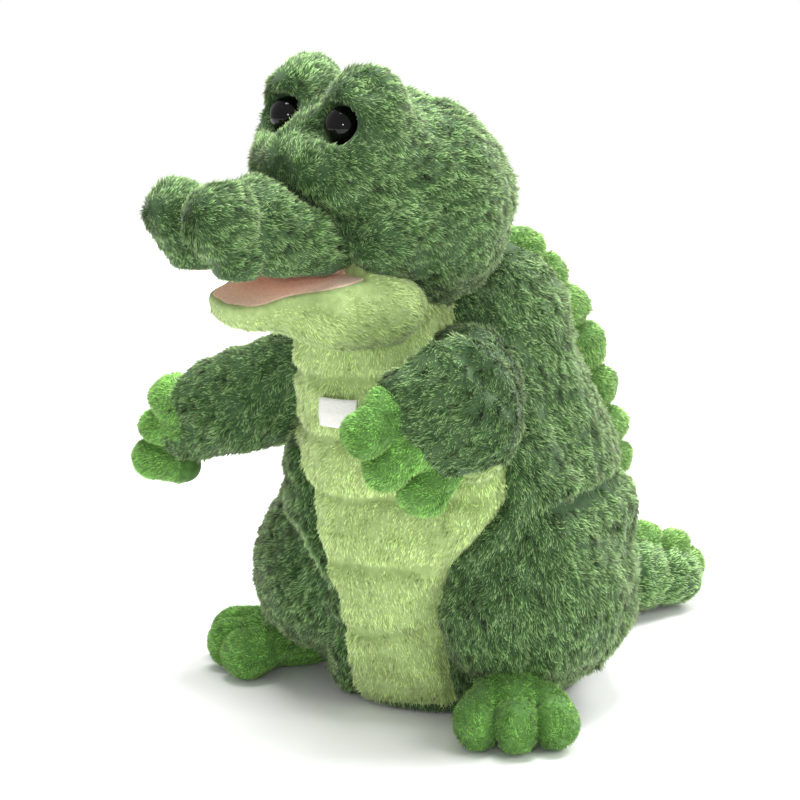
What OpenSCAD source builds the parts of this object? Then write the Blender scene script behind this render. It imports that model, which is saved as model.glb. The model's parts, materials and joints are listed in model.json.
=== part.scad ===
// Crocodile glove puppet with a moving mouth.
// The animal faces -Y, its left side is +X, and the hem of the glove rests on z = 0.
// The hand goes in at the open hem, the fingers into the head and the thumb into the jaw.

/* [Body] */
// Largest radius of the glove body
body_r = 71; // [66:1:75]
// Height at which the body is widest
belly_z = 62; // [56:1:66]
// Half angle of the pale belly panel
panel_half_angle = 40; // [30:1:50]
// Radius of the padded thigh
thigh_r = 36; // [30:1:37]
// Number of puffy lobes down the back
crest_lobes = 8; // [5:1:10]
// Radius of the largest back lobe
lobe_r = 12; // [10:1:13]

/* [Head] */
// Angle that the head is turned to the animal's right
head_yaw = 12.5; // [0:0.5:20]
// Radius of the skull
skull_r = 42; // [40:1:44]
// Distance from the neck's centre to the tip of the snout
snout_reach = 133; // [122:1:140]
// Half width of the snout at its tip
snout_half_w = 26; // [22:1:30]
// Diameter of a domed safety eye
eye_d = 14; // [10:1:15]
// Slope of the mouth's roof above the level
roof_slope = 2.5; // [1:0.5:5]
// Slope of the mouth's floor below the level
floor_slope = 11; // [9:0.5:13]

/* [Limbs] */
// Radius of the arm at the shoulder
arm_r = 20; // [16:1:21]
// Radius of the arm at its cuff
cuff_r = 17; // [13:1:18]
// Length of the arm from shoulder centre to cuff
sleeve_len = 30; // [24:1:36]
// Radius of the tail at its root
tail_r = 20; // [14:1:20]
// Length of the tail between the centres of its two round ends
tail_len = 54; // [40:1:60]
// Length of a foot from the heel's centre to the toes' roots
foot_len = 18; // [14:1:22]

/* [Cloth] */
// Thickness of the plush with its pile
plush = 2.4; // [1.6:0.2:3]
// Thickness of the wadding in the body's wall
wadding = 3.6; // [2:0.2:5]
// Thickness of lining cloth, felt and board
cloth = 1.2; // [0.8:0.1:1.6]

/* [Hidden] */
$fn = 64;

// The whole animal is moved so that its box is centred over the origin.
shift = [12.5, 11.9, 0];

// Body: the glove's axis is upright at y = axis_y.
axis_y = -18;
hem_z = 7;
back_turn = -22;
nape_out = 18;
nape_z = 134;
nape_r = 28;
nape_w = 32;
nape_front = 12;
crest_thick = 9;
hem_wall = 9.5;
hem_r = 50.5;
body_top_z = 139;
collar_r = 24;
collar_wall = 2.5;
neck_z = 146;
collar_top_angle = 25;

// Neck: every surface between body and head is a ball about the neck's centre.
gusset_in = 24.6;
gusset_out = 26.2;
gusset_low_angle = -8;
gusset_top_angle = 40;
socket_r = 27;

// Head, seen from the neck's centre with the snout along -Y.
skull_pos = [0, -28, 44];
face_pos = [0, -46, 50];
face_r = 36;
hinge_y = -66;
hinge_z = 27;
bay_r = 21;
bay_lift = 17;
bay_half_w = 33;
snout_root_r = 21;
snout_tip_r = 16;
snout_root_y = -50;
snout_root_z = 44;
snout_tip_z = 43.5;
pocket_w = 50;
pocket_h = 18;
pocket_z = 46;
pocket_front_y = -92;
pocket_back_y = -30;
brow_r = 15;
nostril_r = 12.5;
eye_pos = [17, -64.5, 80.5];
shank_r = 2;
shank_len = 13;
washer_r = 6;
washer_gap = 8.5;

// Jaw
jaw_root_r = 16;
jaw_tip_r = 9.5;
jaw_root_x = 16;
jaw_tip_x = 10;
jaw_root_z = 23;
jaw_tip_y = -96;
jaw_tip_z = 16;
thumb_w = 24;
thumb_h = 9.4;
thumb_z = 14.5;
thumb_front_y = -90;
thumb_back_y = -38;

// A little clearance keeps the two felts apart where the mouth folds.
fold_gap = 0.3;

// Limbs
shoulder = [60, -68, 130];
arm_dir_left = [-115, -26];
arm_dir_right = [-163, -37];
panel_level = -5;
palm_r = 16;
finger_r = 9;
finger_len = 17;
finger_fan = 33;
paw_roll = 70;
heel = [56, -52, 9.4];
heel_r = 9.2;
toe_ball_r = 12.5;
toe_reach = 17;
toe_r = 10.5;
toe_fan = 34;
foot_splay = 40;
tail_root = [4, 66, 21];
tail_drop = 8;
tail_tip_r = 11;
tail_lobe_r = 9;
tail_lobe_gap = 18;

dark_plush = [0.16, 0.38, 0.13];
pale_plush = [0.68, 0.83, 0.42];
lime_plush = [0.38, 0.66, 0.2];
felt_pink = [0.8, 0.52, 0.45];
lining_tan = [0.82, 0.72, 0.6];
fibre_white = [0.93, 0.93, 0.9];
label_white = [0.95, 0.94, 0.9];
board_grey = [0.7, 0.7, 0.68];

// ---------- helpers ----------

// Everything is drawn in the animal's own frame and then centred.
module place() translate(shift) children();

// A limb along +X: two balls and the cone that joins them, as one turned solid.
module pod(r1, r2, len) {
    tilt = asin((r1 - r2) / len);
    steps = 7;
    rear = [for (i = [0:steps]) let (a = 180 - i * (90 + tilt) / steps) [r1 * sin(a), r1 * cos(a)]];
    front = [for (i = [0:steps]) let (a = (90 - tilt) * (1 - i / steps))
        [r2 * sin(a), len + r2 * cos(a)]];
    rotate([0, 90, 0])
        rotate_extrude()
            polygon(concat(rear, front));
}

// The same limb between two given points.
module pod_between(p, q, r1, r2) {
    d = q - p;
    translate(p)
        rotate([0, -asin(d.z / norm(d)), atan2(d.y, d.x)])
            pod(r1, r2, norm(d));
}

// A flat outline of the YZ plane, made thick on both sides of it.
module upright_strip(thick) {
    rotate([90, 0, 90])
        linear_extrude(thick, center = true)
            children();
}

// Three digits fanned about the local X axis, each a row of two balls.
module digits(fan, start, r, len) {
    for (a = [-fan, 0, fan])
        rotate([0, 0, a]) {
            translate([start, 0, 0]) sphere(r);
            translate([start + len - r, 0, 0.5]) sphere(r - 1);
        }
}

// A slot with round sides along Y, for a pocket that takes fingers.
module slot(w, h, y0, y1, z) {
    translate([0, y1, z])
        rotate([90, 0, 0])
            linear_extrude(y1 - y0) {
                square([w - h, h], center = true);
                for (s = [-1, 1]) translate([s * (w - h) / 2, 0]) circle(h / 2);
            }
}

// ---------- body ----------

function body_outline() = [
    [hem_r, hem_z], [56, 16], [63, 30], [body_r - 2, 46], [body_r, belly_z], [body_r, 78],
    [body_r - 3, 94], [body_r - 8, 109], [body_r - 14, 121], [46, 132], [collar_r, body_top_z]
];

// The outline moved inwards by d: in along the wall, and down under the shoulders.
function inset(d) = [for (p = body_outline())
    [p.x == collar_r ? p.x : p.x - d, p.y - d * max(0, (p.y - 78) / (body_top_z - 78))]];

function reversed(list) = [for (i = [len(list) - 1:-1:0]) list[i]];

module on_axis() translate([0, axis_y, 0]) children();

module body_layer(outer, inner, angle = 360, start = 0) {
    on_axis()
        rotate([0, 0, start])
            rotate_extrude(angle = angle, $fn = 96)
                polygon(concat(inset(outer), reversed(inset(inner))));
}

// The body's outline, as a half section to the right of its axis.
module half_section() polygon(concat([[0, hem_z]], body_outline(), [[0, body_top_z]]));

// The closed outer form of the glove, used to trim what sits on it.
module body_form() on_axis() rotate_extrude($fn = 96) half_section();

module body_sleeve() {
    color(dark_plush)
        place()
            body_layer(0, plush, 360 - 2 * panel_half_angle, panel_half_angle - 90);
}

module belly_panel() {
    color(pale_plush)
        place()
            body_layer(0, plush, 2 * panel_half_angle, -90 - panel_half_angle);
}

module body_wadding() {
    color(fibre_white)
        place()
            body_layer(plush, plush + wadding);
}

module glove_lining() {
    color(lining_tan)
        place()
            body_layer(plush + wadding, plush + wadding + cloth);
}

// The folded hem is a flat ring that the puppet stands on.
module hem_band() {
    round_r = 2;
    color(dark_plush)
        place()
            on_axis()
                rotate_extrude($fn = 96)
                    polygon([
                        [hem_r - hem_wall, 0], [hem_r - round_r, 0], [hem_r, round_r],
                        [hem_r, hem_z], [hem_r - hem_wall, hem_z]
                    ]);
}

// Upright tube that turns into a ball about the neck's centre.
module neck_collar() {
    steps = 4;
    inner_r = collar_r - collar_wall;
    low_z = body_top_z - plush - wadding - cloth;
    color(dark_plush)
        place()
            on_axis()
                rotate_extrude()
                    polygon(concat(
                        [[inner_r, low_z], [collar_r, low_z]],
                        [for (i = [0:steps]) let (a = i * collar_top_angle / steps)
                            [collar_r * cos(a), neck_z + collar_r * sin(a)]],
                        [for (i = [steps:-1:0]) let (a = i * collar_top_angle / steps)
                            [inner_r * cos(a), neck_z + inner_r * sin(a)]]
                    ));
}

// Children are drawn with the back's middle line over +Y; the glove is a little twisted.
module along_back() on_axis() rotate([0, 0, back_turn]) children();

// Stuffing that carries the crest up behind the head.
module nape_pad() {
    color(dark_plush)
        place()
            along_back()
                upright_strip(nape_w)
                    difference() {
                        translate([nape_out, nape_z]) circle(nape_r);
                        half_section();
                        translate([0, neck_z]) circle(socket_r + 1);
                        translate([nape_front - 100, 100]) square(100);
                    }
}

module thigh(side) {
    color(dark_plush)
        place()
            difference() {
                translate([side * 42, -24, 48]) sphere(thigh_r);
                body_form();
            }
}
module thigh_left() thigh(1);
module thigh_right() thigh(-1);

// Lobes follow the back from behind the neck down to the tail.
function crest_point(t) = [31 + 45 * sin(90 * t), 167 - 101 * t];

module back_crest() {
    color(lime_plush)
        place()
            along_back()
                upright_strip(crest_thick)
                    difference() {
                        for (i = [0:crest_lobes - 1]) {
                            t = i / (crest_lobes - 1);
                            translate(crest_point(t)) circle(lobe_r - 3 * abs(t - 0.4));
                        }
                        half_section();
                        translate([nape_out, nape_z]) circle(nape_r);
                    }
}

// Blank woven tag sewn to the chest, where the belly slopes back to the neck.
module chest_tag() {
    low = body_outline()[7];
    high = body_outline()[8];
    mid = (low + high) / 2;
    lean = atan2(low.x - high.x, high.y - low.y);
    off = 0.37;
    color(label_white)
        place()
            translate([1, axis_y - mid.x - off * cos(lean), mid.y + off * sin(lean)])
                rotate([-lean, 0, 0])
                    cube([15, 0.6, 9.6], center = true);
}

// Blank care label in the hem, under the tail.
module care_label() {
    color(label_white)
        place()
            translate([-7, axis_y + hem_r - hem_wall - 1.7, 1]) cube([14, 0.5, 20]);
}

// ---------- neck ----------

module neck_gusset() {
    steps = 6;
    span = gusset_top_angle - gusset_low_angle;
    color(dark_plush)
        place()
            on_axis()
                rotate_extrude()
                    polygon(concat(
                        [for (i = [0:steps]) let (a = gusset_low_angle + i * span / steps)
                            [gusset_out * cos(a), neck_z + gusset_out * sin(a)]],
                        [for (i = [steps:-1:0]) let (a = gusset_low_angle + i * span / steps)
                            [gusset_in * cos(a), neck_z + gusset_in * sin(a)]]
                    ));
}

// ---------- head ----------

// Children are drawn about the neck's centre with the snout along -Y.
module in_head() {
    place()
        translate([0, axis_y, neck_z])
            rotate([0, 0, -head_yaw])
                children();
}

// The skull and the face in front of it, as two balls.
module skull(d) {
    translate(skull_pos) sphere(skull_r - d, $fn = 96);
    translate(face_pos) sphere(face_r - d, $fn = 96);
}

module snout(d) {
    side = snout_half_w - snout_tip_r;
    tip_y = snout_tip_r - snout_reach;
    for (x = [-side, 0, side])
        pod_between([x, snout_root_y, snout_root_z], [x, tip_y, snout_tip_z], snout_root_r - d,
            snout_tip_r - d);
}

// Half space under the mouth's roof, raised by d, in front of the hinge.
module under_roof(d) {
    size = 200;
    translate([0, hinge_y, hinge_z])
        rotate([-roof_slope, 0, 0])
            translate([-size / 2, -size, d - size]) cube([size, size, size]);
}

// Space over the mouth's floor, lowered by d: sloping in front of the hinge, level behind it.
module over_floor(d) {
    size = 200;
    translate([0, hinge_y, hinge_z - d]) {
        rotate([floor_slope, 0, 0])
            translate([-size / 2, -size, 0]) cube([size, size, size]);
        translate([-size / 2, -size / 2, 0]) cube([size, size, size]);
    }
}

// Room in which the root of the jaw turns, closed above by a plane that it just clears when open.
module jaw_bay() {
    size = 100;
    translate([0, hinge_y, hinge_z])
        difference() {
            rotate([0, 90, 0]) cylinder(r = bay_r, h = 2 * bay_half_w, center = true);
            rotate([bay_lift, 0, 0])
                translate([-size / 2, -size / 2, 0]) cube([size, size, size]);
        }
}

// Upright shaft for the fingers, from the glove's neck to the pockets.
module shaft() {
    translate([0, -15, -30]) cylinder(r = 22, h = 30 + pocket_z + pocket_h / 2);
}

// The way of the hand from the glove's neck to the finger pocket.
module hand_way() {
    sphere(socket_r);
    shaft();
    slot(thumb_w, thumb_h, hinge_y, -20, thumb_z);
    slot(pocket_w, pocket_h, pocket_front_y, pocket_back_y, pocket_z);
    translate([-(pocket_w - pocket_h) / 2, pocket_back_y - 1, pocket_z - pocket_h / 2])
        cube([pocket_w - pocket_h, 16, pocket_h]);
}

// An eye's dome and shank: it pushes through the cloth, and its washer holds it from behind.
module eye_solid() {
    sphere(eye_d / 2);
    rotate([-90, 0, 0]) cylinder(r = shank_r, h = shank_len);
}

module washer_solid(bore) {
    translate([0, washer_gap, 0])
        rotate([-90, 0, 0])
            difference() {
                cylinder(r = washer_r, h = 1.6);
                translate([0, 0, -1]) cylinder(r = bore, h = 4);
            }
}

// The room that an eye and its washer take up.
module eye_room(side) {
    translate([side * eye_pos.x, eye_pos.y, eye_pos.z]) {
        eye_solid();
        washer_solid(shank_r - 1);
    }
}

module head_shell() {
    color(dark_plush)
        in_head()
            difference() {
                skull(0);
                skull(plush);
                under_roof(cloth);
                jaw_bay();
                hand_way();
                eye_room(1);
                eye_room(-1);
            }
}

module head_stuffing() {
    color(fibre_white)
        in_head()
            difference() {
                skull(plush);
                under_roof(2 * cloth);
                jaw_bay();
                hand_way();
                eye_room(1);
                eye_room(-1);
            }
}

module snout_shell() {
    color(dark_plush)
        in_head()
            difference() {
                snout(0);
                snout(plush);
                skull(0);
                under_roof(cloth);
                jaw_bay();
            }
}

module snout_stuffing() {
    color(fibre_white)
        in_head()
            difference() {
                snout(plush);
                skull(0);
                under_roof(2 * cloth);
                jaw_bay();
                hand_way();
            }
}

module brow(side) {
    color(dark_plush)
        in_head()
            difference() {
                pod_between([side * 16, -46, 66], [side * 21, -54, 87], brow_r + 0.5, brow_r);
                skull(0);
                if (side < 0) translate([-0.2, -100, 0]) cube([100, 200, 200]);
                if (side > 0) translate([0.2 - 100, -100, 0]) cube([100, 200, 200]);
                eye_room(side);
            }
}
module brow_left() brow(1);
module brow_right() brow(-1);

module nostril(side) {
    color(dark_plush)
        in_head()
            difference() {
                translate([side * 13.5, nostril_r + 1 - snout_reach, 54]) sphere(nostril_r);
                snout(0);
            }
}
module nostril_left() nostril(1);
module nostril_right() nostril(-1);

module eye(side) {
    color("black")
        in_head()
            translate([side * eye_pos.x, eye_pos.y, eye_pos.z]) eye_solid();
}
module eye_left() eye(1);
module eye_right() eye(-1);

module eye_washer(side) {
    color(label_white)
        in_head()
            translate([side * eye_pos.x, eye_pos.y, eye_pos.z]) washer_solid(shank_r);
}
module eye_washer_left() eye_washer(1);
module eye_washer_right() eye_washer(-1);

module upper_palate() {
    color(felt_pink)
        in_head()
            difference() {
                intersection() {
                    snout(0);
                    under_roof(cloth);
                }
                under_roof(0);
                jaw_bay();
            }
}

module upper_mouth_board() {
    color(board_grey)
        in_head()
            difference() {
                intersection() {
                    snout(plush);
                    under_roof(2 * cloth);
                }
                skull(0);
                under_roof(cloth);
                jaw_bay();
            }
}

module finger_pocket() {
    color(lining_tan)
        in_head()
            difference() {
                slot(pocket_w, pocket_h, pocket_front_y, pocket_back_y, pocket_z);
                slot(pocket_w - 2 * cloth, pocket_h - 2 * cloth, pocket_front_y + cloth,
                    pocket_back_y + 1, pocket_z);
                shaft();
            }
}

// ---------- jaw ----------

module jaw(d) {
    for (s = [-1, 0, 1])
        pod_between([s * jaw_root_x, hinge_y, jaw_root_z], [s * jaw_tip_x, jaw_tip_y, jaw_tip_z],
            jaw_root_r - d, jaw_tip_r - d);
}

module thumb_slot(d) {
    slot(thumb_w - 2 * d, thumb_h - 2 * d, thumb_front_y + d, thumb_back_y + d, thumb_z);
}

module jaw_shell() {
    color(pale_plush)
        in_head()
            difference() {
                jaw(0);
                jaw(plush);
                over_floor(cloth);
                thumb_slot(0);
            }
}

module jaw_stuffing() {
    color(fibre_white)
        in_head()
            difference() {
                jaw(plush);
                over_floor(2 * cloth);
                thumb_slot(0);
            }
}

module floor_slab(d) {
    difference() {
        intersection() {
            jaw(d == 0 ? 0 : plush);
            over_floor(d + cloth);
        }
        over_floor(d);
    }
}

module lower_palate() {
    color(felt_pink)
        in_head()
            difference() {
                floor_slab(0);
                over_floor(fold_gap);
            }
}

module lower_mouth_board() {
    color(board_grey)
        in_head()
            floor_slab(cloth);
}

module thumb_pocket() {
    color(lining_tan)
        in_head()
            intersection() {
                jaw(0);
                difference() {
                    thumb_slot(0);
                    thumb_slot(cloth);
                }
            }
}

// ---------- arms ----------

// Children are drawn with the shoulder at the origin and the arm along +X.
module in_arm(side, dir) {
    place()
        translate([side * shoulder.x, shoulder.y, shoulder.z])
            rotate([0, -dir[1], dir[0]])
                children();
}

module arm_form(d) {
    difference() {
        pod(arm_r - d, cuff_r - d, sleeve_len + 4);
        translate([sleeve_len, -50, -50]) cube(100);
    }
}

module below_panel() translate([-50, -50, panel_level - 100]) cube(100);

module arm_sleeve(side, dir) {
    color(dark_plush)
        in_arm(side, dir)
            difference() {
                arm_form(0);
                arm_form(plush);
                below_panel();
            }
}

module arm_panel(side, dir) {
    color(pale_plush)
        in_arm(side, dir)
            intersection() {
                difference() {
                    arm_form(0);
                    arm_form(plush);
                }
                below_panel();
            }
}

module arm_stuffing(side, dir) {
    color(fibre_white)
        in_arm(side, dir)
            arm_form(plush);
}

module paw(side, dir) {
    palm_x = sleeve_len + palm_r / 2;
    color(lime_plush)
        in_arm(side, dir)
            difference() {
                translate([palm_x, 0, 0]) {
                    sphere(palm_r);
                    rotate([paw_roll, 0, 0]) digits(finger_fan, palm_r - 4, finger_r, finger_len);
                }
                translate([sleeve_len - 100, -50, -50]) cube(100);
            }
}

module arm_sleeve_left() arm_sleeve(1, arm_dir_left);
module arm_panel_left() arm_panel(1, arm_dir_left);
module arm_stuffing_left() arm_stuffing(1, arm_dir_left);
module paw_left() paw(1, arm_dir_left);
module arm_sleeve_right() arm_sleeve(-1, arm_dir_right);
module arm_panel_right() arm_panel(-1, arm_dir_right);
module arm_stuffing_right() arm_stuffing(-1, arm_dir_right);
module paw_right() paw(-1, arm_dir_right);

// ---------- feet ----------

module foot(side) {
    color(lime_plush)
        place()
            difference() {
                translate([side * heel.x, heel.y, heel.z])
                    rotate([0, 0, -90 + side * foot_splay]) {
                        pod(heel_r, toe_ball_r, foot_len * 0.6);
                        for (a = [-toe_fan, 0, toe_fan])
                            translate([foot_len - 6, 0, 0.4])
                                rotate([0, 0, a]) translate([toe_reach, 0, 0]) sphere(toe_r);
                    }
                translate([-150, -150, -100]) cube([300, 300, 100]);
            }
}
module foot_left() foot(1);
module foot_right() foot(-1);

// ---------- tail ----------

module in_tail() {
    place()
        translate(tail_root)
            rotate([0, tail_drop, 90 + back_turn])
                children();
}

// Side view of the tail, under its crest.
module tail_profile() {
    lean = asin((tail_r - tail_tip_r) / tail_len);
    circle(tail_r);
    translate([tail_len, 0]) circle(tail_tip_r);
    polygon([
        [0, 0], [tail_r * sin(lean), tail_r * cos(lean)],
        [tail_len + tail_tip_r * sin(lean), tail_tip_r * cos(lean)], [tail_len, 0]
    ]);
}

module tail_sleeve() {
    color(dark_plush)
        in_tail()
            difference() {
                pod(tail_r, tail_tip_r, tail_len);
                pod(tail_r - plush, tail_tip_r - plush, tail_len);
            }
}

module tail_stuffing() {
    color(fibre_white)
        in_tail()
            pod(tail_r - plush, tail_tip_r - plush, tail_len);
}

module tail_crest() {
    color(lime_plush)
        in_tail()
            rotate([0, 0, -90])
                upright_strip(crest_thick - 1)
                    difference() {
                        for (i = [0:2])
                            translate([14 + tail_lobe_gap * i, tail_r - 1 - 3 * i]) circle(tail_lobe_r);
                        tail_profile();
                    }
}

body_sleeve();
belly_panel();
body_wadding();
glove_lining();
hem_band();
neck_collar();
nape_pad();
thigh_left();
thigh_right();
back_crest();
chest_tag();
care_label();
neck_gusset();
head_shell();
head_stuffing();
snout_shell();
snout_stuffing();
brow_left();
brow_right();
nostril_left();
nostril_right();
eye_left();
eye_right();
eye_washer_left();
eye_washer_right();
upper_palate();
upper_mouth_board();
finger_pocket();
jaw_shell();
jaw_stuffing();
lower_palate();
lower_mouth_board();
thumb_pocket();
arm_sleeve_left();
arm_panel_left();
arm_stuffing_left();
paw_left();
arm_sleeve_right();
arm_panel_right();
arm_stuffing_right();
paw_right();
foot_left();
foot_right();
tail_sleeve();
tail_stuffing();
tail_crest();
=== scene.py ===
import json
import math

import bpy
import numpy as np
import openvdb
from mathutils import Matrix, Vector


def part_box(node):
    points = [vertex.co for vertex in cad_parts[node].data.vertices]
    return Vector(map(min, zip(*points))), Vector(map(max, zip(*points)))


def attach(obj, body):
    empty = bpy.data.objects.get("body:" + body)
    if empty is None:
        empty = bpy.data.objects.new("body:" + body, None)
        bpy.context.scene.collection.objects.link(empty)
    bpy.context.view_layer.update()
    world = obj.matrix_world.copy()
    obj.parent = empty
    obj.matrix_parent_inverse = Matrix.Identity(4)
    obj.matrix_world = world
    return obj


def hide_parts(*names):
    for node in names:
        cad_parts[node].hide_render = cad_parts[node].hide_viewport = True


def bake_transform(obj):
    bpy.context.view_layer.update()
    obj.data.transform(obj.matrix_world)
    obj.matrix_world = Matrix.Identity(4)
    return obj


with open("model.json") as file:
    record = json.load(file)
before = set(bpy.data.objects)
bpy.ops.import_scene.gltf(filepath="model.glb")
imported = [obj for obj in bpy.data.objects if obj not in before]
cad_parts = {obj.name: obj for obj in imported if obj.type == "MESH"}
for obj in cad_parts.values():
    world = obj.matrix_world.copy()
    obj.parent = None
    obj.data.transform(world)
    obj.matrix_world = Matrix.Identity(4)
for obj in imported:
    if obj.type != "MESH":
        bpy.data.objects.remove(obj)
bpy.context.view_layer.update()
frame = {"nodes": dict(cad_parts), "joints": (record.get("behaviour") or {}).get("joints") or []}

MM = 0.001
JOINTS = {j["name"]: j for j in frame["joints"]}


# ---------- frames ----------


class Place:
    """A right-handed set of axes with its origin in the row frame. Lengths are in mm."""

    def __init__(self, origin, axes=None):
        self.origin = np.array(origin, float)
        self.axes = np.eye(3) if axes is None else np.array(axes, float)

    def row(self, p):
        """Local mm to row-frame metres."""
        return (np.asarray(p, float) @ self.axes + self.origin) * MM

    def turn(self, v):
        return np.asarray(v, float) @ self.axes

    def local(self, row_metres):
        return (np.asarray(row_metres, float) / MM - self.origin) @ self.axes.T


def joint_mm(name):
    return np.array(JOINTS[name]["pos_m"], float) / MM


def axes_along(azimuth, elevation):
    """Local X points that way; local Y stays level."""
    a, e = math.radians(azimuth), math.radians(elevation)
    x = [math.cos(a) * math.cos(e), math.sin(a) * math.cos(e), math.sin(e)]
    y = [-math.sin(a), math.cos(a), 0]
    return [x, y, list(np.cross(x, y))]


hem_lo, hem_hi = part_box("hem_band")
hem_mid = (np.array(hem_lo) + np.array(hem_hi)) / 2 / MM
BODY = Place([hem_mid[0], hem_mid[1], 0])
lateral = np.array(JOINTS["head_nod"]["axis"], float)
lateral /= np.linalg.norm(lateral)
HEAD = Place(joint_mm("head_nod"), [lateral, np.cross([0, 0, 1], lateral), [0, 0, 1]])
SIDES = ("left", "right")
ARMS = {
    "left": Place(joint_mm("arm_left_swing"), axes_along(-115, -26)),
    "right": Place(joint_mm("arm_right_swing"), axes_along(-163, -37)),
}
FEET = {
    "left": Place(joint_mm("foot_left_lift"), axes_along(-50, 0)),
    "right": Place(joint_mm("foot_right_lift"), axes_along(-130, 0)),
}
TAIL = Place(joint_mm("tail_sway"), axes_along(68, -8))


# ---------- implicit forms ----------
# All in mm. p is an array of points; a form is negative inside and about the distance outside.


def ball(p, c, r):
    return np.sqrt(((p - np.asarray(c, np.float32)) ** 2).sum(-1)) - r


def egg(p, c, r):
    q = p - np.asarray(c, np.float32)
    r = np.asarray(r, np.float32)
    k0 = np.sqrt(((q / r) ** 2).sum(-1))
    k1 = np.sqrt(((q / r**2) ** 2).sum(-1)) + 1e-6
    return k0 * (k0 - 1) / k1


def pod(p, a, b, ra, rb):
    """A rounded limb from a to b, of radius ra there and rb here."""
    a, b = np.asarray(a, np.float32), np.asarray(b, np.float32)
    d = b - a
    t = np.clip(((p - a) @ d) / (d @ d), 0, 1)
    near = a + t[..., None] * d
    return np.sqrt(((p - near) ** 2).sum(-1)) - (ra + (rb - ra) * t)


def melt(a, b, k):
    """Both forms, rounded into one another over about k mm."""
    h = np.clip(0.5 + 0.5 * (b - a) / k, 0, 1)
    return b + (a - b) * h - k * h * (1 - h)


def seam(a, b, deep, wide):
    """Both forms, with a sewn crease where they meet."""
    return np.minimum(a, b) + deep * np.exp(-(((a - b) / wide) ** 2))


def waves(p, size, seed, count=9):
    """Smooth noise of about -1 to 1 with bumps of about that size: a sum of cosines."""
    rng = np.random.default_rng(seed)
    k = rng.normal(size=(count, 3)).astype(np.float32)
    k *= (2 * np.pi / size) * rng.uniform(0.6, 1.3, (count, 1)) / np.linalg.norm(
        k, axis=1, keepdims=True
    )
    out = 0
    for row, phase in zip(k.astype(np.float32), rng.uniform(0, 6.28, count)):
        out = out + np.cos(p @ row + np.float32(phase))
    return out * (1.4 / math.sqrt(count) / 1.6)


def ease(x, lo, hi):
    """0 below lo, 1 above hi, smooth between."""
    t = np.clip((x - lo) / (hi - lo), 0, 1)
    return t * t * (3 - 2 * t)


def hill(x, mid, wide):
    """A smooth bump of height 1."""
    return np.exp(-(((x - mid) / wide) ** 2))


# ---------- body ----------

# radius of the body at each height
BODY_Z = [0, 3, 8, 20, 40, 60, 74, 89, 105, 126, 146, 158, 166, 174]
BODY_R = [44, 48, 53, 60, 65.5, 68.5, 68.5, 63.5, 57.5, 49, 38, 28, 15, -8]
BACK_DEG = 158
NAPE_OUT, NAPE_Z, NAPE_R = 17, 143, 30
THROAT_TOP, THROAT_FOOT, THROAT_R = (-8, -43, 153), (-5, -34, 104), (28, 34)
THIGH_DEG = (78, -60)
THIGH_OUT, THIGH_Z, THIGH_R = 34, 46, (43.5, 50, 43)
# the belly panel's two edges, as angles round the body at each height
SEAM_Z = [0, 20, 45, 65, 88, 100, 112, 130, 150, 175]
SEAM_RIGHT = [-12, -7, -4, -10, -18, -30, -46, -60, -66, -68]
SEAM_LEFT = [42, 37, 33, 38, 56, 58, 50, 38, 37, 38]
CHANNEL_Z = [133, 110, 88, 62, 35]
WAIST_Z, DART_DEG = 84, 61
CLOTH, CLOTH_FOOT = 3.4, 1.4


def polar(p):
    """Distance from the body's axis, and the angle round it: 0 at the belly, + to the animal's left."""
    x, y = p[..., 0], p[..., 1]
    return np.hypot(x, y), np.degrees(np.arctan2(x, -y))


def spot(radius, degrees, z):
    """The point at that distance from the body's axis, that way round it."""
    a = math.radians(degrees)
    return [radius * math.sin(a), -radius * math.cos(a), z]


def facing(p, degrees):
    """Points in axes that look out of the body that way: out, across and up."""
    a = math.radians(degrees)
    out = p[..., 0] * math.sin(a) - p[..., 1] * math.cos(a)
    across = p[..., 0] * math.cos(a) + p[..., 1] * math.sin(a)
    return np.stack([out, across, p[..., 2]], -1)


def panel_depth(p):
    """How far a point is inside the pale belly panel, in mm along the surface."""
    r, a = polar(p)
    z = p[..., 2]
    right, left = np.interp(z, SEAM_Z, SEAM_RIGHT), np.interp(z, SEAM_Z, SEAM_LEFT)
    inside = np.minimum(np.sin(np.radians(a - right)), np.sin(np.radians(left - a))) * r
    return np.where(np.abs(a) > 100, -40, inside)


def body_form(p):
    r, a = polar(p)
    z = p[..., 2]
    trunk = (r - np.interp(z, BODY_Z, BODY_R)) * 0.85
    trunk = melt(trunk, ball(p, spot(NAPE_OUT, BACK_DEG, NAPE_Z), NAPE_R), 14)
    trunk = melt(trunk, pod(p, THROAT_TOP, THROAT_FOOT, *THROAT_R), 12)
    for deg in THIGH_DEG:
        q = facing(p - np.array(spot(THIGH_OUT, deg, THIGH_Z), np.float32), deg)
        thigh = egg(q, (0, 0, 0), THIGH_R)
        across = q[..., 1]
        front = ease(-across if deg > 0 else across, 4, 26)
        trunk = melt(trunk, thigh, 3) + (1.5 + 5.0 * front) * hill(trunk - thigh, 0, 4.6)
    side = np.abs(a - 10)
    waist = hill(z, WAIST_Z + 0.05 * (side - 90), 5) * ease(side, 44, 62) * (1 - ease(side, 128, 160))
    dart = hill(r * np.sin(np.radians(a - DART_DEG)), 0, 2.6) * (1 - ease(z, 34, 52)) * (a > 0)
    fold = hill(side + 0.25 * (z - 110), 74, 6) * hill(z, 112, 22)
    creases = 5.0 * waist + 2.0 * dart + 2.4 * fold
    inside = panel_depth(p)
    trunk = trunk - 2.0 * ease(-inside, -1, 9) * (1 - ease(z, 92, 112))
    belly = ease(inside, 0, 9)
    for channel in CHANNEL_Z:
        creases = creases + 1.9 * hill(z, channel + 0.05 * a, 2.8) * belly
    creases = creases + (1.6 + 1.4 * (1 - ease(z, 92, 112))) * hill(inside, 0.5, 2.6) * (z > 2)
    swell = 1.2 * waves(p, 46, 3) + 0.5 * waves(p, 17, 4)
    return trunk + creases - swell


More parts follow.
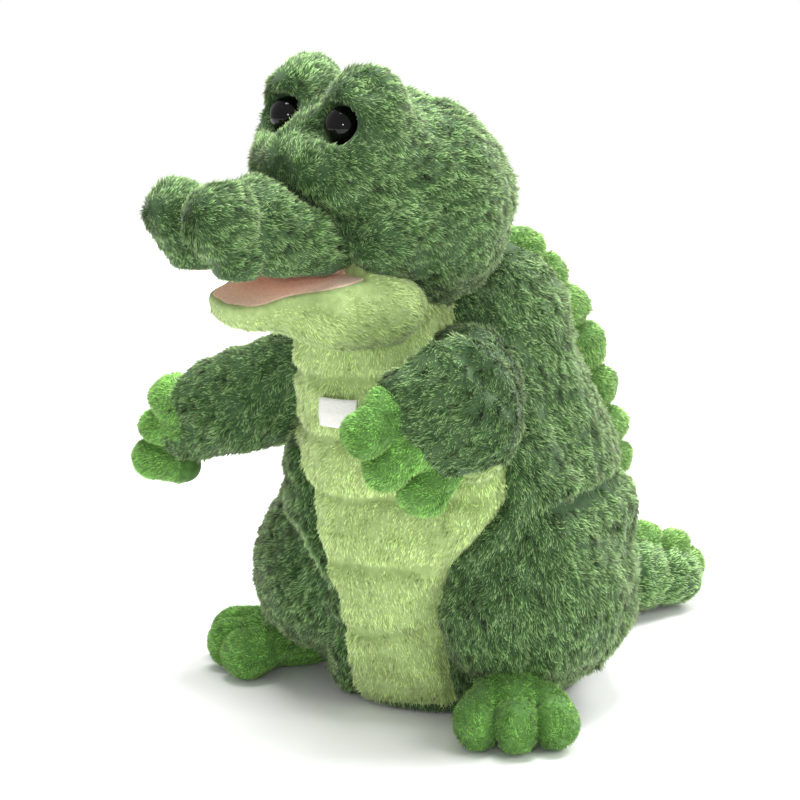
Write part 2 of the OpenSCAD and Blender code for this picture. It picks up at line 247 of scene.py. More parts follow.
def shell(d, thick):
    return np.maximum(d, -(d + thick))


def body_cloth(p, pale):
    """The body's cloth, on the belly panel's side of the seam or on the other."""
    d = shell(body_form(p), CLOTH)
    side = panel_depth(p)
    d = np.maximum(d, -side if pale else side)
    return np.maximum(d, CLOTH_FOOT - p[..., 2])


# ---------- head; the snout is along -Y, and the origin is the neck's centre ----------

hinge_y, hinge_z = HEAD.local(JOINTS["jaw_open"]["pos_m"])[1:]
ROOF_SLOPE, FLOOR_SLOPE = math.tan(math.radians(3)), math.tan(math.radians(12.5))
EYES = {"left": (17.0, -64.5, 80.5), "right": (-17.0, -64.5, 80.5)}
EYE_R, EYE_PROUD = 7.2, 0.8
JAW_GAP, LIP = 1.2, 0.4
FELT, BOARD = 2.4, 1.3
# middles and half sizes of the head's pieces; those with a sideways X are mirrored
SKULL = ((0, -27, 45.5), (43.5, 42, 42.5))
FACE = ((0, -47, 52), (37, 34, 33))
MUZZLE = ((0, -65, 62), (31.5, 20.5, 20))
CHEEK = ((24, -53, 41), (17, 19, 17))
UNDER_EYE = ((22, -59, 70), (13.5, 13, 13))
BROW_FOOT, BROW_TOP, BROW_R = (16.5, -47, 68), (19.5, -56.5, 87.5), (15.5, 14.6)
NOSTRIL_TOP, NOSTRIL_FOOT, NOSTRIL_R = (12.4, -115.5, 50), (12.2, -109, 37.5), (13.6, 13.2)
BROW_DENT, CHEEK_DIMPLE = (28, -63, 96), (37, -49, 58)


def on_side(s, point):
    """The point, or its mirror image when s is -1."""
    return (s * point[0], point[1], point[2])


def near_pair(p, point):
    """Distance to the point or to its mirror image, whichever is nearer."""
    x, y, z = point
    return np.hypot(np.abs(p[..., 0]) - x, np.hypot(p[..., 1] - y, p[..., 2] - z))


def eye_way(c):
    """The way that an eye at c looks, in the head's axes."""
    v = np.array([0.12 if c[0] > 0 else -0.12, -0.99, 0.05])
    return v / np.linalg.norm(v)


def eye_socket(p, c):
    """Room for the dome at c, and a clear view of it from both sides."""
    out = math.copysign(1, c[0])
    d = ball(p, c, EYE_R + 0.3)
    for across in (0.42 * out, -0.3 * out):
        way = np.array([across, -0.9, 0.24])
        d = melt(d, pod(p, c + way * 2, c + way * 15, 7.7, 9.2), 2)
    return d


def roof(y):
    """Height of the roof of the mouth."""
    return hinge_z + ROOF_SLOPE * (hinge_y - y)


def floor_of(y):
    """Height of the floor of the mouth."""
    return hinge_z - FLOOR_SLOPE * (hinge_y - y)


def snout_form(p):
    """The snout, with a padded nostril roll on each side of its tip."""
    d = pod(p, (0, -50, 40), (0, -104, 43), 18, 14.5)
    for s in (-1, 1):
        d = melt(d, pod(p, (s * 12, -52, 38), (s * 10, -108, 42), 17, 14.5), 6)
    d = melt(d, egg(p, (0, -93, 48), (19, 18, 14.5)), 5)
    for s in (-1, 1):
        pad = pod(p, on_side(s, NOSTRIL_TOP), on_side(s, NOSTRIL_FOOT), *NOSTRIL_R)
        d = melt(d, pad, 1) + 2.8 * hill(d - pad, 0, 3.2)
    return d + 3.0 * hill(p[..., 0], 0, 2.4) * ease(-p[..., 1], 108, 119)


def jaw_root(p):
    """The round cheeks of the jaw, which the head is hollowed for."""
    d = egg(p, (0, -60, 14), (28, 24, 13.5))
    for s in (-1, 1):
        d = melt(d, egg(p, (s * 17, -60, 15), (22.5, 26.5, 17)), 6)
    return d


def head_form(p):
    x, y, z = p[..., 0], p[..., 1], p[..., 2]
    skull = melt(egg(p, *SKULL), egg(p, *FACE), 8)
    middle, half = CHEEK
    for s in (-1, 1):
        skull = melt(skull, egg(p, on_side(s, middle), half), 9)
    brows = None
    for s in (-1, 1):
        one = pod(p, on_side(s, BROW_FOOT), on_side(s, BROW_TOP), *BROW_R)
        brows = one if brows is None else melt(brows, one, 3) + 2.0 * hill(brows - one, 0, 3)
    muzzle = melt(melt(skull, brows, 9), egg(p, *MUZZLE), 9)
    middle, half = UNDER_EYE
    for s in (-1, 1):
        muzzle = melt(muzzle, egg(p, on_side(s, middle), half), 8)
    d = seam(muzzle, snout_form(p), 3.0, 4.0)
    dent = 3.4 * hill(near_pair(p, BROW_DENT), 0, 4.6)
    dimple = 2.2 * hill(near_pair(p, CHEEK_DIMPLE), 0, 8)
    crown = 1.1 * hill(x, 0, 2.2) * ease(z, 60, 74) * ease(y, -52, -36)
    sockets = np.minimum(*(eye_socket(p, c) for c in EYES.values()))
    swell = 0.9 * waves(p, 38, 11) + 0.4 * waves(p, 15, 12)
    d = d + dent + dimple + crown - swell
    return -melt(-d, sockets, 2.6)


def head_cloth(p):
    y, z = p[..., 1], p[..., 2]
    under = roof(y) + LIP - z
    hollowed = np.maximum(head_form(p), -(jaw_root(p) + JAW_GAP))
    return np.where(y < hinge_y, np.maximum(hollowed, under), hollowed)


def jaw_form(p):
    tongue = pod(p, (0, -62, 20), (0, -97, 16.5), 14, 9.5)
    for s in (-1, 1):
        tongue = melt(tongue, pod(p, (s * 13, -62, 20), (s * 9.5, -96, 16.5), 13.5, 9), 5)
    d = melt(tongue, jaw_root(p), 9)
    return d - 0.6 * waves(p, 26, 21)


def jaw_cloth(p):
    y, z = p[..., 1], p[..., 2]
    over = z - floor_of(y) + LIP
    return np.where(y < hinge_y, np.maximum(jaw_form(p), over), jaw_form(p))


def mouth_felt(p):
    y, z = p[..., 1], p[..., 2]
    gap = np.maximum(z - roof(y), floor_of(y) - z)
    gap = np.maximum(gap, y - hinge_y)
    middle = (roof(y) + floor_of(y)) / 2
    bound = np.where(z > middle, head_form(p), jaw_form(p))
    felt = np.maximum(-gap, gap - FELT) - 0.15 * waves(p, 9, 31)
    return np.maximum(felt, bound + 1.3)


def mouth_board(above):
    """A stiff board behind the felt of the roof, or of the floor."""
    face, bound = (roof, head_form) if above else (floor_of, jaw_form)
    sign = 1 if above else -1

    def board(p):
        y, z = p[..., 1], p[..., 2]
        deep = sign * (z - face(y))
        slab = np.maximum(BOARD - deep, deep - 2 * BOARD)
        return np.maximum(np.maximum(slab, y - hinge_y), bound(p) + 3.2)

    return board


# ---------- limbs ----------

# where each arm leaves the body, in the body's mm
ARM_ROOT = {"left": (28, -28, 131), "right": (-38, -24, 131)}
# a point on the sleeve's end in the arm's X and Z, and how far its way out dips, in degrees
CUFF = {"left": ((35.5, 7.0), 16.5), "right": ((40.0, -1.5), -48)}
# the pale side is where Y and Z, weighted by the first two, fall below minus the third
PALE_EDGE = {"left": (0.43, 0.9, 9), "right": (0.85, 0.5, 22)}
# fingertips, in the arm's X and Z
FINGERS = {
    "left": ((48, 18.5), (46, 3.5), (38.5, -12.5)),
    "right": ((40, 3.5), (51.5, -3), (61.5, -10.5)),
}


def cuff_way(side):
    """The way out of the sleeve's end, in the arm's X and Z."""
    a = math.radians(CUFF[side][1])
    return math.cos(a), -math.sin(a)


def past_cuff(side, p):
    (x, z), (nx, nz) = CUFF[side][0], cuff_way(side)
    return (p[..., 0] - x) * nx + (p[..., 2] - z) * nz


def pale_side(side, p):
    """Negative on the pale inner side of the arm."""
    fy, fz, off = PALE_EDGE[side]
    near_body = 0.7 * np.maximum(14 - p[..., 0], 0) if side == "left" else 0
    return fy * p[..., 1] + fz * p[..., 2] + off + near_body + 0.8 * waves(p, 20, 43)


def arm_form(side):
    root = ARMS[side].local(BODY.row(ARM_ROOT[side]))

    def form(p):
        if side == "left":
            d = pod(p, root, (12, 0, 0), 19, 18)
            d = melt(d, egg(p, (15, 0, 7), (22, 16, 27)), 5)
            d = melt(d, egg(p, (31, 0, 8), (15, 14, 23)), 6)
        else:
            low = root + np.array([8, 0, -18])
            d = melt(pod(p, root, (33, 0, 0), 15, 12.5), pod(p, low, (44, 0, -9), 14, 12), 9)
        elbow = 2.2 * hill(p[..., 0], 2 + 0.2 * p[..., 2], 3.4) * ease(p[..., 2], -4, 14)
        return d + elbow + 1.4 * ease(past_cuff(side, p), -9, 0) - 1.0 * waves(p, 24, 41)

    return form


def arm_cloth(side, pale):
    form = arm_form(side)

    def cloth(p):
        d = np.maximum(form(p), past_cuff(side, p) - 2)
        under = pale_side(side, p)
        d = d + 1.3 * hill(under, 0, 2.2)
        return np.maximum(d, under if pale else -under)

    return cloth


def paw_form(side):
    nx, nz = cuff_way(side)

    def form(p):
        d = None
        for x, z in FINGERS[side]:
            finger = pod(p, (x - 10 * nx, 0, z - 10 * nz), (x + 1.5 * nx, 0.8, z + 1.5 * nz), 8, 8.8)
            d = finger if d is None else melt(d, finger, 2) + 1.9 * hill(d - finger, 0, 2.6)
        (x, z), _ = CUFF[side]
        palm = egg(p, (x - 2 * nx, 0, z - 2 * nz), (12.5, 12, 14))
        return melt(d, palm, 4) - 0.5 * waves(p, 14, 51)

    return form


# the outer toes come before the middle one, which lies over them
TOE_DEG = (38, -38, 0)
FOOT_SOLE = 9.0
TAIL_SOLE = 20.5
# middles of the tail's lobes, in the tail's X and Z
TAIL_LOBES = [(9, 18), (26, 14), (41, 11), (50, 3)]
# middles of the back's lobes: distance from the body's axis, and height
CREST = [(31, 168), (41, 157), (50.5, 143.5), (58.5, 127)]
CREST += [(65, 109.5), (70.5, 93), (73.5, 79), (75, 66)]
CREST_R, CREST_BIGGEST, CREST_HALF_WIDTH = 12.4, 3, 6.6
HEM_R, HEM_Z = 44.0, 4.2


def foot_form(p):
    d = melt(egg(p, (-6, 0, 5), (16, 14.5, 13)), egg(p, (7, 0, 3), (16, 17, 12.5)), 6)
    for deg in TOE_DEG:
        a = math.radians(deg)
        root = (4 + 4 * math.cos(a), 15 * math.sin(a), 4)
        tip = (8 + 15.5 * math.cos(a), 21.5 * math.sin(a), 0.8)
        toe = pod(p, root, tip, 9.8, 9.9)
        d = melt(d, toe, 2.5) + 2.2 * hill(d - toe, 0, 2.8)
    d = d - 0.5 * waves(p, 15, 52)
    return np.maximum(d, -(p[..., 2] + FOOT_SOLE))


def tail_form(p):
    d = pod(p, (-16, 0, 3), (45, 0, -0.5), 23, 12)
    ring = 1.5 * hill(p[..., 0], 17, 3) + 1.5 * hill(p[..., 0], 34, 3)
    return np.maximum(d + ring - 0.7 * waves(p, 24, 61), -(p[..., 2] + TAIL_SOLE))


def tail_lobes(p):
    d = None
    for x, z in TAIL_LOBES:
        one = egg(p, (x, 0, z), (9.6, 5.6, 9.2))
        d = one if d is None else melt(d, one, 1.5) + 1.1 * hill(d - one, 0, 2.2)
    return d - 0.4 * waves(p, 11, 62)


def crest_form(p):
    q = facing(p, BACK_DEG)
    d = None
    for i, (out, z) in enumerate(CREST):
        r = CREST_R - 0.5 * abs(i - CREST_BIGGEST)
        one = egg(q, (out - 3, 0, z), (r + 0.6, CREST_HALF_WIDTH, r * 0.92))
        d = one if d is None else melt(d, one, 1.5) + 1.2 * hill(d - one, 0, 2.4)
    return d - 0.4 * waves(p, 12, 71)


def hem_form(p):
    r, _ = polar(p)
    q = np.stack([r - HEM_R + 0.5 * waves(p, 22, 81), p[..., 2] - HEM_Z], -1)
    return np.sqrt((q[..., 0] / 1.25) ** 2 + q[..., 1] ** 2) - 3.9


# ---------- meshes ----------


def raw_mesh(name, co, corners, counts):
    me = bpy.data.meshes.new(name)
    me.vertices.add(len(co))
    me.vertices.foreach_set("co", np.asarray(co, np.float32).ravel())
    me.loops.add(len(corners))
    me.loops.foreach_set("vertex_index", np.asarray(corners, np.int32))
    me.polygons.add(len(counts))
    starts = np.concatenate([[0], np.cumsum(counts)[:-1]]).astype(np.int32)
    me.polygons.foreach_set("loop_start", starts)
    me.polygons.foreach_set("use_smooth", np.ones(len(counts), bool))
    me.update(calc_edges=True)
    ob = bpy.data.objects.new(name, me)
    bpy.context.scene.collection.objects.link(ob)
    return ob


class Skin:
    """A meshed implicit form: its points in local mm and its faces.
    outer is the form that its pile stands on."""

    def __init__(self, place, cloth, lo, hi, voxel, outer=None):
        self.place, self.cloth, self.outer = place, cloth, outer or cloth
        lo, hi = np.array(lo, np.float32), np.array(hi, np.float32)
        lines = [np.arange(a, b + voxel, voxel, dtype=np.float32) for a, b in zip(lo, hi)]
        grid = np.stack(np.meshgrid(*lines, indexing="ij"), -1)
        d = np.asarray(cloth(grid), np.float32)
        vdb = openvdb.FloatGrid(float(voxel * 3))
        vdb.copyFromArray(np.ascontiguousarray(d))
        pts, quads = vdb.convertToQuads(isovalue=0.0)
        self.pts = lo + np.asarray(pts, np.float32) * np.float32(voxel)
        self.quads = np.asarray(quads, np.int64)
        for _ in range(2):
            n, d = self.slope(self.cloth, self.pts)
            self.pts = self.pts - np.clip(d, -voxel * 0.5, voxel * 0.5)[:, None] * n * 0.8
        a, b, c = (self.pts[self.quads[:, i]] for i in range(3))
        if ((np.cross(b - a, c - a)) * a).sum() < 0:
            self.quads = self.quads[:, ::-1]

    @staticmethod
    def slope(field, p):
        """Unit normal and the field's value."""
        e = np.float32(0.4)
        d = np.asarray(field(p), np.float32)
        g = np.stack([field(p + e * v) - d for v in np.eye(3, dtype=np.float32)], -1)
        return g / (np.linalg.norm(g, axis=-1, keepdims=True) + 1e-6), d

    def object(self, name, material):
        ob = raw_mesh(
            name, self.place.row(self.pts), self.quads.ravel(), np.full(len(self.quads), 4)
        )
        ob.data.materials.append(material)
        return ob

    def sample(self, density, seed):
        rng = np.random.default_rng(seed)
        t = np.concatenate([self.quads[:, [0, 1, 2]], self.quads[:, [0, 2, 3]]])
        a, b, c = (self.pts[t[:, i]] for i in range(3))
        area = np.linalg.norm(np.cross(b - a, c - a), axis=1) / 2
        n = int(area.sum() * density)
        pick = np.searchsorted(np.cumsum(area) / area.sum(), rng.random(n))
        pick = np.minimum(pick, len(t) - 1)
        u, v = rng.random((2, n, 1)).astype(np.float32)
        flip = (u + v) > 1
        u, v = np.where(flip, 1 - u, u), np.where(flip, 1 - v, v)
        return a[pick] + (b[pick] - a[pick]) * u + (c[pick] - a[pick]) * v, rng


# how the streaks of the pile stretch: a smaller factor gives longer streaks that way
ALONG_X, ALONG_Y, ALONG_Z = (0.3, 1, 1), (1, 0.4, 0.6), (1, 1, 0.3)
ROOT_SINK = 0.5
LEAST_LIFT = 0.22
STRAY = 1.1
THIRD_TURN = 2.0944


def pile(
    skin, name, material, density, long, flow, lay=0.7, wide=0.72, keep=None, seed=1, tone=None,
    clump=0.36, trim=None, grain=ALONG_X, mottle=0.3,
):
    """Tufts of pile over a skin: each is a slim three-sided point, combed along flow and clumped.
    Its own UV map holds the place from root to tip in u, and the tuft's shade in v.
    density is in tufts per square mm; long and wide are in mm; lay is 0 upright and 1 flat."""
    p, rng = skin.sample(density, seed)
    normal, d = skin.slope(skin.outer, p)
    good = np.abs(d) < STRAY
    if keep is not None:
        good &= keep(p)
    p, normal = p[good], normal[good]
    n = len(p)
    way = flow(p)
    way = way - (way * normal).sum(1, keepdims=True) * normal
    way /= np.linalg.norm(way, axis=1, keepdims=True) + 1e-6
    swirl = np.stack([waves(p, 9, seed + k) for k in (101, 102, 103)], -1)
    fine = np.stack([waves(p, 4.2, seed + k) for k in (111, 112, 113)], -1)
    aim = normal * (1 - lay) + way * lay + clump * swirl * 0.6 + clump * fine * 0.6
    aim += rng.normal(size=(n, 3)) * 0.10
    lift = (aim * normal).sum(1, keepdims=True)
    aim += normal * np.maximum(LEAST_LIFT - lift, 0)
    aim /= np.linalg.norm(aim, axis=1, keepdims=True)
    size = long * rng.uniform(0.72, 1.22, (n, 1)) * (1 + 0.16 * waves(p, 12, seed + 7)[:, None])
    if trim is not None:
        size = size * trim(p)[:, None]
    side = np.cross(aim, normal + rng.normal(size=(n, 3)) * 0.6)
    side /= np.linalg.norm(side, axis=1, keepdims=True) + 1e-6
    other = np.cross(normal, side)
    turn = rng.uniform(0, 6.283, (n, 1))
    base = p - ROOT_SINK * normal
    co = np.empty((n, 4, 3), np.float32)
    nn = np.empty((n, 4, 3), np.float32)
    for k in range(3):
        a = turn + k * THIRD_TURN
        spoke = np.cos(a) * side + np.sin(a) * other
        co[:, k] = base + spoke * wide * 0.5
        nn[:, k] = normal + 0.42 * spoke + 0.1 * aim
    co[:, 3] = base + aim * size
    nn[:, 3] = normal * 0.9 + 0.35 * aim
    nn += rng.normal(size=(n, 1, 3)) * 0.1
    nn /= np.linalg.norm(nn, axis=2, keepdims=True)
    first = np.arange(n, dtype=np.int32)[:, None] * 4
    corners = (first + np.array([0, 1, 3, 1, 2, 3, 2, 0, 3], np.int32)).ravel()
    ob = raw_mesh(name, skin.place.row(co.reshape(-1, 3)), corners, np.full(n * 3, 3))
    me = ob.data
    me.materials.append(material)
    streak = waves(p * np.array(grain, np.float32), 2.4, seed + 9, 14)
    shade = 0.5 + 0.08 * waves(p, 18, seed + 5) + mottle * streak + rng.normal(size=n) * 0.12
    # a piece's own shift of shade goes in here; on the head it is painted shade under the cheeks
    if tone is not None:
        shade = shade + tone(p)
    shade = np.clip(shade, 0.02, 0.97)
    uv = np.empty((n, 9, 2), np.float32)
    uv[:, :, 0] = np.array([0.02, 0.02, 0.98] * 3)
    uv[:, :, 1] = shade[:, None] + np.array([0, 0.006, 0.003] * 3)
    me.uv_layers.new(name="OFBake").data.foreach_set("uv", uv.ravel())
    me.normals_split_custom_set_from_vertices(skin.place.turn(nn.reshape(-1, 3)))
    return ob


# ---------- materials ----------


def material(name, rough, sheen=0.0, tint=(1, 1, 1, 1)):
    m = bpy.data.materials.new(name)
    m.use_nodes = True
    bsdf = m.node_tree.nodes["Principled BSDF"]
    bsdf.inputs["Roughness"].default_value = rough
    bsdf.inputs["Sheen Weight"].default_value = sheen
    bsdf.inputs["Sheen Roughness"].default_value = 0.45
    bsdf.inputs["Sheen Tint"].default_value = tint
    return m, m.node_tree, bsdf


def ramp(tree, stops):
    node = tree.nodes.new("ShaderNodeValToRGB")
    el = node.color_ramp.elements
    while len(el) < len(stops):
        el.new(0.5)
    for e, (at, colour) in zip(el, stops):
        e.position = at
        e.color = (*colour, 1)
    return node


def pile_material(name, root, mid, tip):
    """Colour from root to tip, made lighter or darker by each tuft's own shade. The tip colour is the
    plush's own; the darkening towards the root is painted shade deep in the pile.
    """
    m, tree, bsdf = material(name, 0.75, 0.18, (*[min(1, c * 1.6 + 0.2) for c in tip], 1))
    bsdf.inputs["Specular IOR Level"].default_value = 0.25
    uv = tree.nodes.new("ShaderNodeUVMap")
    uv.uv_map = "OFBake"
    split = tree.nodes.new("ShaderNodeSeparateXYZ")
    tree.links.new(uv.outputs["UV"], split.inputs["Vector"])
    # dark root colour up to a quarter of the way out, then the middle: painted shade deep in the pile
    colours = ramp(tree, [(0.0, root), (0.24, root), (0.6, mid), (1.0, tip)])
    tree.links.new(split.outputs["X"], colours.inputs["Fac"])
    span = tree.nodes.new("ShaderNodeMapRange")
    span.inputs["To Min"].default_value = 0.05
    span.inputs["To Max"].default_value = 1.95
    tree.links.new(split.outputs["Y"], span.inputs["Value"])
    hsv = tree.nodes.new("ShaderNodeHueSaturation")
    tree.links.new(colours.outputs["Color"], hsv.inputs["Color"])
    tree.links.new(span.outputs["Result"], hsv.inputs["Value"])
    tree.links.new(hsv.outputs["Color"], bsdf.inputs["Base Color"])
    return m


def cloth_material(name, dark, light, size, rough=0.85, bump=0.25, sheen=0.2):
    m, tree, bsdf = material(name, rough, sheen)
    where = tree.nodes.new("ShaderNodeTexCoord")
    noise = tree.nodes.new("ShaderNodeTexNoise")
    noise.inputs["Scale"].default_value = 1 / (size * MM)
    noise.inputs["Detail"].default_value = 4
    tree.links.new(where.outputs["Object"], noise.inputs["Vector"])
    colours = ramp(tree, [(0.3, dark), (0.7, light)])
    tree.links.new(noise.outputs["Fac"], colours.inputs["Fac"])
    tree.links.new(colours.outputs["Color"], bsdf.inputs["Base Color"])
    lumps = tree.nodes.new("ShaderNodeBump")
    lumps.inputs["Strength"].default_value = bump
    lumps.inputs["Distance"].default_value = 0.4 * MM
    tree.links.new(noise.outputs["Fac"], lumps.inputs["Height"])
    tree.links.new(lumps.outputs["Normal"], bsdf.inputs["Normal"])
    return m


def eye_material():
    """Glossy black with an amber ring behind, by the height along the dome's axis."""
    m, tree, bsdf = material("eye_glossy", 0.05)
    bsdf.inputs["Specular IOR Level"].default_value = 0.3
    where = tree.nodes.new("ShaderNodeTexCoord")
    split = tree.nodes.new("ShaderNodeSeparateXYZ")
    tree.links.new(where.outputs["Object"], split.inputs["Vector"])
    scale = tree.nodes.new("ShaderNodeMapRange")
    scale.inputs["From Min"].default_value = -EYE_R * MM
    scale.inputs["From Max"].default_value = EYE_R * MM
    tree.links.new(split.outputs["Z"], scale.inputs["Value"])
    amber_back, amber = (0.28, 0.19, 0.05), (0.32, 0.21, 0.06)
    edge, pupil = (0.02, 0.014, 0.006), (0.003, 0.003, 0.003)
    colours = ramp(tree, [(0.0, amber_back), (0.37, amber), (0.39, edge), (0.41, pupil)])
    tree.links.new(scale.outputs["Result"], colours.inputs["Fac"])
    tree.links.new(colours.outputs["Color"], bsdf.inputs["Base Color"])
    return m


# each pile's colours at root, middle and tip; the darker root and middle colours are painted shade deep
# in the pile, the tip colour is the plush's own
DARK = pile_material("dark_pile", (0.010, 0.040, 0.006), (0.068, 0.160, 0.036), (0.50, 0.69, 0.33))
PALE = pile_material("pale_pile", (0.28, 0.42, 0.10), (0.58, 0.78, 0.27), (0.80, 0.95, 0.50))
LIME = pile_material("lime_pile", (0.07, 0.21, 0.025), (0.22, 0.53, 0.09), (0.47, 0.80, 0.25))
CREST_PILE = pile_material("crest_pile", (0.08, 0.20, 0.03), (0.24, 0.46, 0.11), (0.52, 0.76, 0.30))
# the backing cloths are darker than their pile: painted shade at the pile's base
DARK_SKIN = cloth_material("dark_backing", (0.018, 0.055, 0.012), (0.040, 0.100, 0.026), 3)
PALE_SKIN = cloth_material("pale_backing", (0.28, 0.40, 0.13), (0.42, 0.56, 0.22), 3)
LIME_SKIN = cloth_material("lime_backing", (0.05, 0.14, 0.02), (0.10, 0.24, 0.045), 3)
FELT_CLOTH = cloth_material("mouth_felt_cloth", (0.74, 0.51, 0.38), (0.90, 0.66, 0.51), 1.1, bump=0.5)
LINING = cloth_material("lining_cloth", (0.60, 0.48, 0.36), (0.72, 0.60, 0.47), 2.0)
WOVEN = cloth_material("woven_label", (0.72, 0.71, 0.68), (0.86, 0.85, 0.82), 0.6)
PLASTIC = cloth_material("washer_plastic", (0.70, 0.70, 0.68), (0.78, 0.78, 0.76), 4, rough=0.4)
BOARD_SHEET = cloth_material("mouth_board", (0.42, 0.40, 0.36), (0.52, 0.50, 0.45), 3, rough=0.8)
EYE = eye_material()


# ---------- building ----------


def wander(p, size, seed):
    return 0.3 * np.stack([waves(p, size, seed + k) for k in range(3)], -1)


def down(p):
    return np.tile(np.array([0, 0, -1.0]), (len(p), 1))


def body_flow(p):
    r, a = polar(p)
    out = np.stack([np.sin(np.radians(a)), -np.cos(np.radians(a)), np.zeros(len(p))], -1)
    around = np.stack([np.cos(np.radians(a)), np.sin(np.radians(a)), np.zeros(len(p))], -1)
    swing = 0.45 * waves(p, 60, 201)[:, None] + 0.25 * np.sign(a)[:, None]
    return down(p) + out * 0.2 + around * swing


def head_flow(p):
    outward = 0.25 * np.sign(p[:, 0]) * ease(-p[:, 1], 0, 60)
    back = np.stack([outward, np.full(len(p), 1.0), np.zeros(len(p))], -1)
    drop = (0.35 + 0.8 * ease(p[:, 1], -70, 0))[:, None]
    return back + down(p) * drop + wander(p, 40, 211)


def limb_flow(p):
    """Out along the limb's X."""
    return np.array([1.0, 0, 0]) + np.zeros_like(p) + wander(p, 22, 221)


DENSE = 1.0

# a plush: its backing cloth, its pile and its slot
DARK_PLUSH = (DARK_SKIN, DARK, "dark_plush")
PALE_PLUSH = (PALE_SKIN, PALE, "pale_plush")
LIME_PLUSH = (LIME_SKIN, LIME, "lime_plush")
CREST_PLUSH = (LIME_SKIN, CREST_PILE, "lime_plush")

# pile settings that several pieces share
EVEN = dict(mottle=0.08)
SHORT_LOBE = dict(lay=0.5, wide=0.66, mottle=0.16)
SHORT_PAW = dict(lay=0.5, wide=0.62, clump=0.2, mottle=0.14)


def backing(part, name, plush):
    """The backing cloth of a piece."""
    backing_mat, _, slot = plush
    ob = part.object(name, backing_mat)
    return ob


def fur(part, name, plush, density, long, flow, **how):
    """The pile of a piece."""
    _, pile_mat, slot = plush
    ob = pile(part, name, pile_mat, density * DENSE, long, flow, **how)
    return ob


def cover(part, base, plush, *settings, **how):
    skin_ob = backing(part, base + "_skin", plush)
    return skin_ob, fur(part, base + "_pile", plush, *settings, **how)


def ride_with(objects, body):
    for ob in objects:
        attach(ob, body)


def blend_with(objects, a, b, start, end):
    for ob in objects:
        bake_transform(ob)


# body
NECK_SPAN = (BODY.row([0, 0, 128]), BODY.row([0, 0, 152]))
SHOWN_TOP, SHOWN_FOOT = 172, 1.8


def shown(p):
    """Not inside the head, and not under the hem."""
    return (p[:, 2] < SHOWN_TOP) & (p[:, 2] > SHOWN_FOOT)


def body():
    form = dict(voxel=1.6, outer=body_form)
    sleeve = Skin(BODY, lambda p: body_cloth(p, False), [-90, -84, 0], [92, 92, 178], **form)
    panel = Skin(BODY, lambda p: body_cloth(p, True), [-75, -90, 0], [75, 10, 178], **form)
    sleeve_skin = backing(sleeve, "body_sleeve_skin", DARK_PLUSH)
    panel_skin = backing(panel, "belly_panel_skin", PALE_PLUSH)
    sleeve_pile = fur(
        sleeve, "body_sleeve_pile", DARK_PLUSH, 2.3, 3.4, body_flow, seed=1, grain=ALONG_Z,
        keep=lambda p: (panel_depth(p) < 0.6) & shown(p),
    )
    panel_pile = fur(
        panel, "belly_panel_pile", PALE_PLUSH, 2.3, 2.8, body_flow, seed=2, grain=ALONG_Z,
        keep=lambda p: (panel_depth(p) > -0.6) & shown(p), clump=0.25, **EVEN,
    )
    blend_with([sleeve_skin, sleeve_pile, panel_skin, panel_pile], "root", "neck", *NECK_SPAN)
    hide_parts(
        "body_sleeve", "body_wadding", "neck_collar", "nape_pad",
        "thigh_left", "thigh_right", "neck_gusset",
    )
    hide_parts("belly_panel")


def hem():
    part = Skin(BODY, hem_form, [-55, -55, -2], [55, 55, 11], 1.3)
    skin_ob = backing(part, "hem_band_cloth", DARK_PLUSH)
    pile_ob = fur(
        part, "hem_band_pile", DARK_PLUSH, 0.8, 2.0, body_flow, seed=3,
        keep=lambda p: (p[:, 2] > 1.5) & (polar(p)[0] > HEM_R),
    )
    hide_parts("hem_band")
    ride_with([skin_ob, pile_ob], "root")


def back_crest():
    part = Skin(BODY, crest_form, [0, 10, 48], [52, 96, 186], 1.2)
    skin_ob, pile_ob = cover(
        part, "back_crest", CREST_PLUSH, 2.6, 2.2, body_flow, seed=4, **SHORT_LOBE
    )
    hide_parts("back_crest")
    blend_with([skin_ob, pile_ob], "root", "neck", *NECK_SPAN)


# head and jaw
def eye_gap(p):
    return np.minimum(*(ball(p, c, EYE_R) for c in EYES.values()))


def head_trim(p):
    """Pile is short on the lips and round the eyes."""
    lip = np.where(p[:, 1] < hinge_y + 6, ease(p[:, 2] - roof(p[:, 1]), -1, 9), 1)
    return (0.4 + 0.6 * lip) * (0.35 + 0.65 * ease(eye_gap(p), 0, 7))


def head_tone(p):
    """Lighter on the snout, with painted shade darkening the lower cheeks."""
    return 0.05 * ease(-p[:, 1], 60, 110) - 0.16 * ease(-p[:, 2], -42, -18) * ease(p[:, 1], -75, -60)


def jaw_trim(p):
    lip = np.where(p[:, 1] < hinge_y, ease(floor_of(p[:, 1]) - p[:, 2], 0, 8), 1)
    return 0.4 + 0.6 * lip


def head():
    part = Skin(HEAD, head_cloth, [-50, -138, -4], [50, 22, 108], 1.25, head_form)
    skin_ob, pile_ob = cover(
        # the tone given to this pile adds painted shade under the cheeks
        part, "head", DARK_PLUSH, 2.5, 3.1, head_flow, seed=5, trim=head_trim, grain=ALONG_Y,
        keep=lambda p: (eye_gap(p) > 0.5) & (jaw_root(p) > -1.0), tone=head_tone,
    )
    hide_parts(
        "head_shell", "head_stuffing", "snout_shell", "snout_stuffing",
        "brow_left", "brow_right", "nostril_left", "nostril_right", "finger_pocket",
    )
    ride_with([skin_ob, pile_ob], "head")


def jaw():
    part = Skin(HEAD, jaw_cloth, [-44, -112, -22], [44, -24, 42], 1.25, jaw_form)
    skin_ob, pile_ob = cover(
        part, "jaw", PALE_PLUSH, 2.4, 2.6, head_flow, seed=6, clump=0.22, trim=jaw_trim,
        grain=ALONG_Y, **EVEN,
    )
    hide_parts("jaw_shell", "jaw_stuffing", "thumb_pocket")
    start, end = HEAD.row([0, hinge_y + 12, 15]), HEAD.row([0, hinge_y - 8, 15])
    blend_with([skin_ob, pile_ob], "head", "jaw", start, end)


